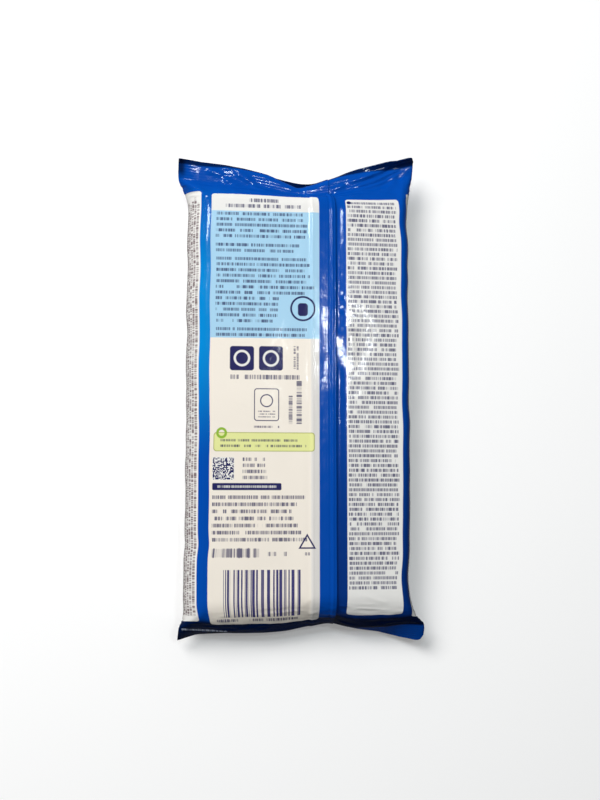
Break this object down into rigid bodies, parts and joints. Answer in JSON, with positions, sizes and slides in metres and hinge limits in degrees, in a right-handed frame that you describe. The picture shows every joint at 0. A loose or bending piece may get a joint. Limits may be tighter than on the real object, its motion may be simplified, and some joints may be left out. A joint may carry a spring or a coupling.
{
  "type": "wet wipes pack",
  "caption": "Soft sealed film pack of folded moist cleaning wipes, pillow shaped, with a fin seal down the back, a crimped seal with ears at each end and a peel-back label on the front.",
  "frame": {"origin": "middle of the bounding box in X and Y, on the plane that the pack lies on", "axes": "+Z out of the back, which lies face up, +Y along the pack towards its upper end, +X to the right as the back is read"},
  "size_m": [0.101, 0.1986, 0.0217],
  "materials": {
    "printed_film": "glossy printed polypropylene film",
    "label_film": "smooth white polypropylene label"
  },
  "bodies": {
    "root": {"sealed_pack": "printed_film", "reseal_label": "label_film"}
  },
  "joints": []
}
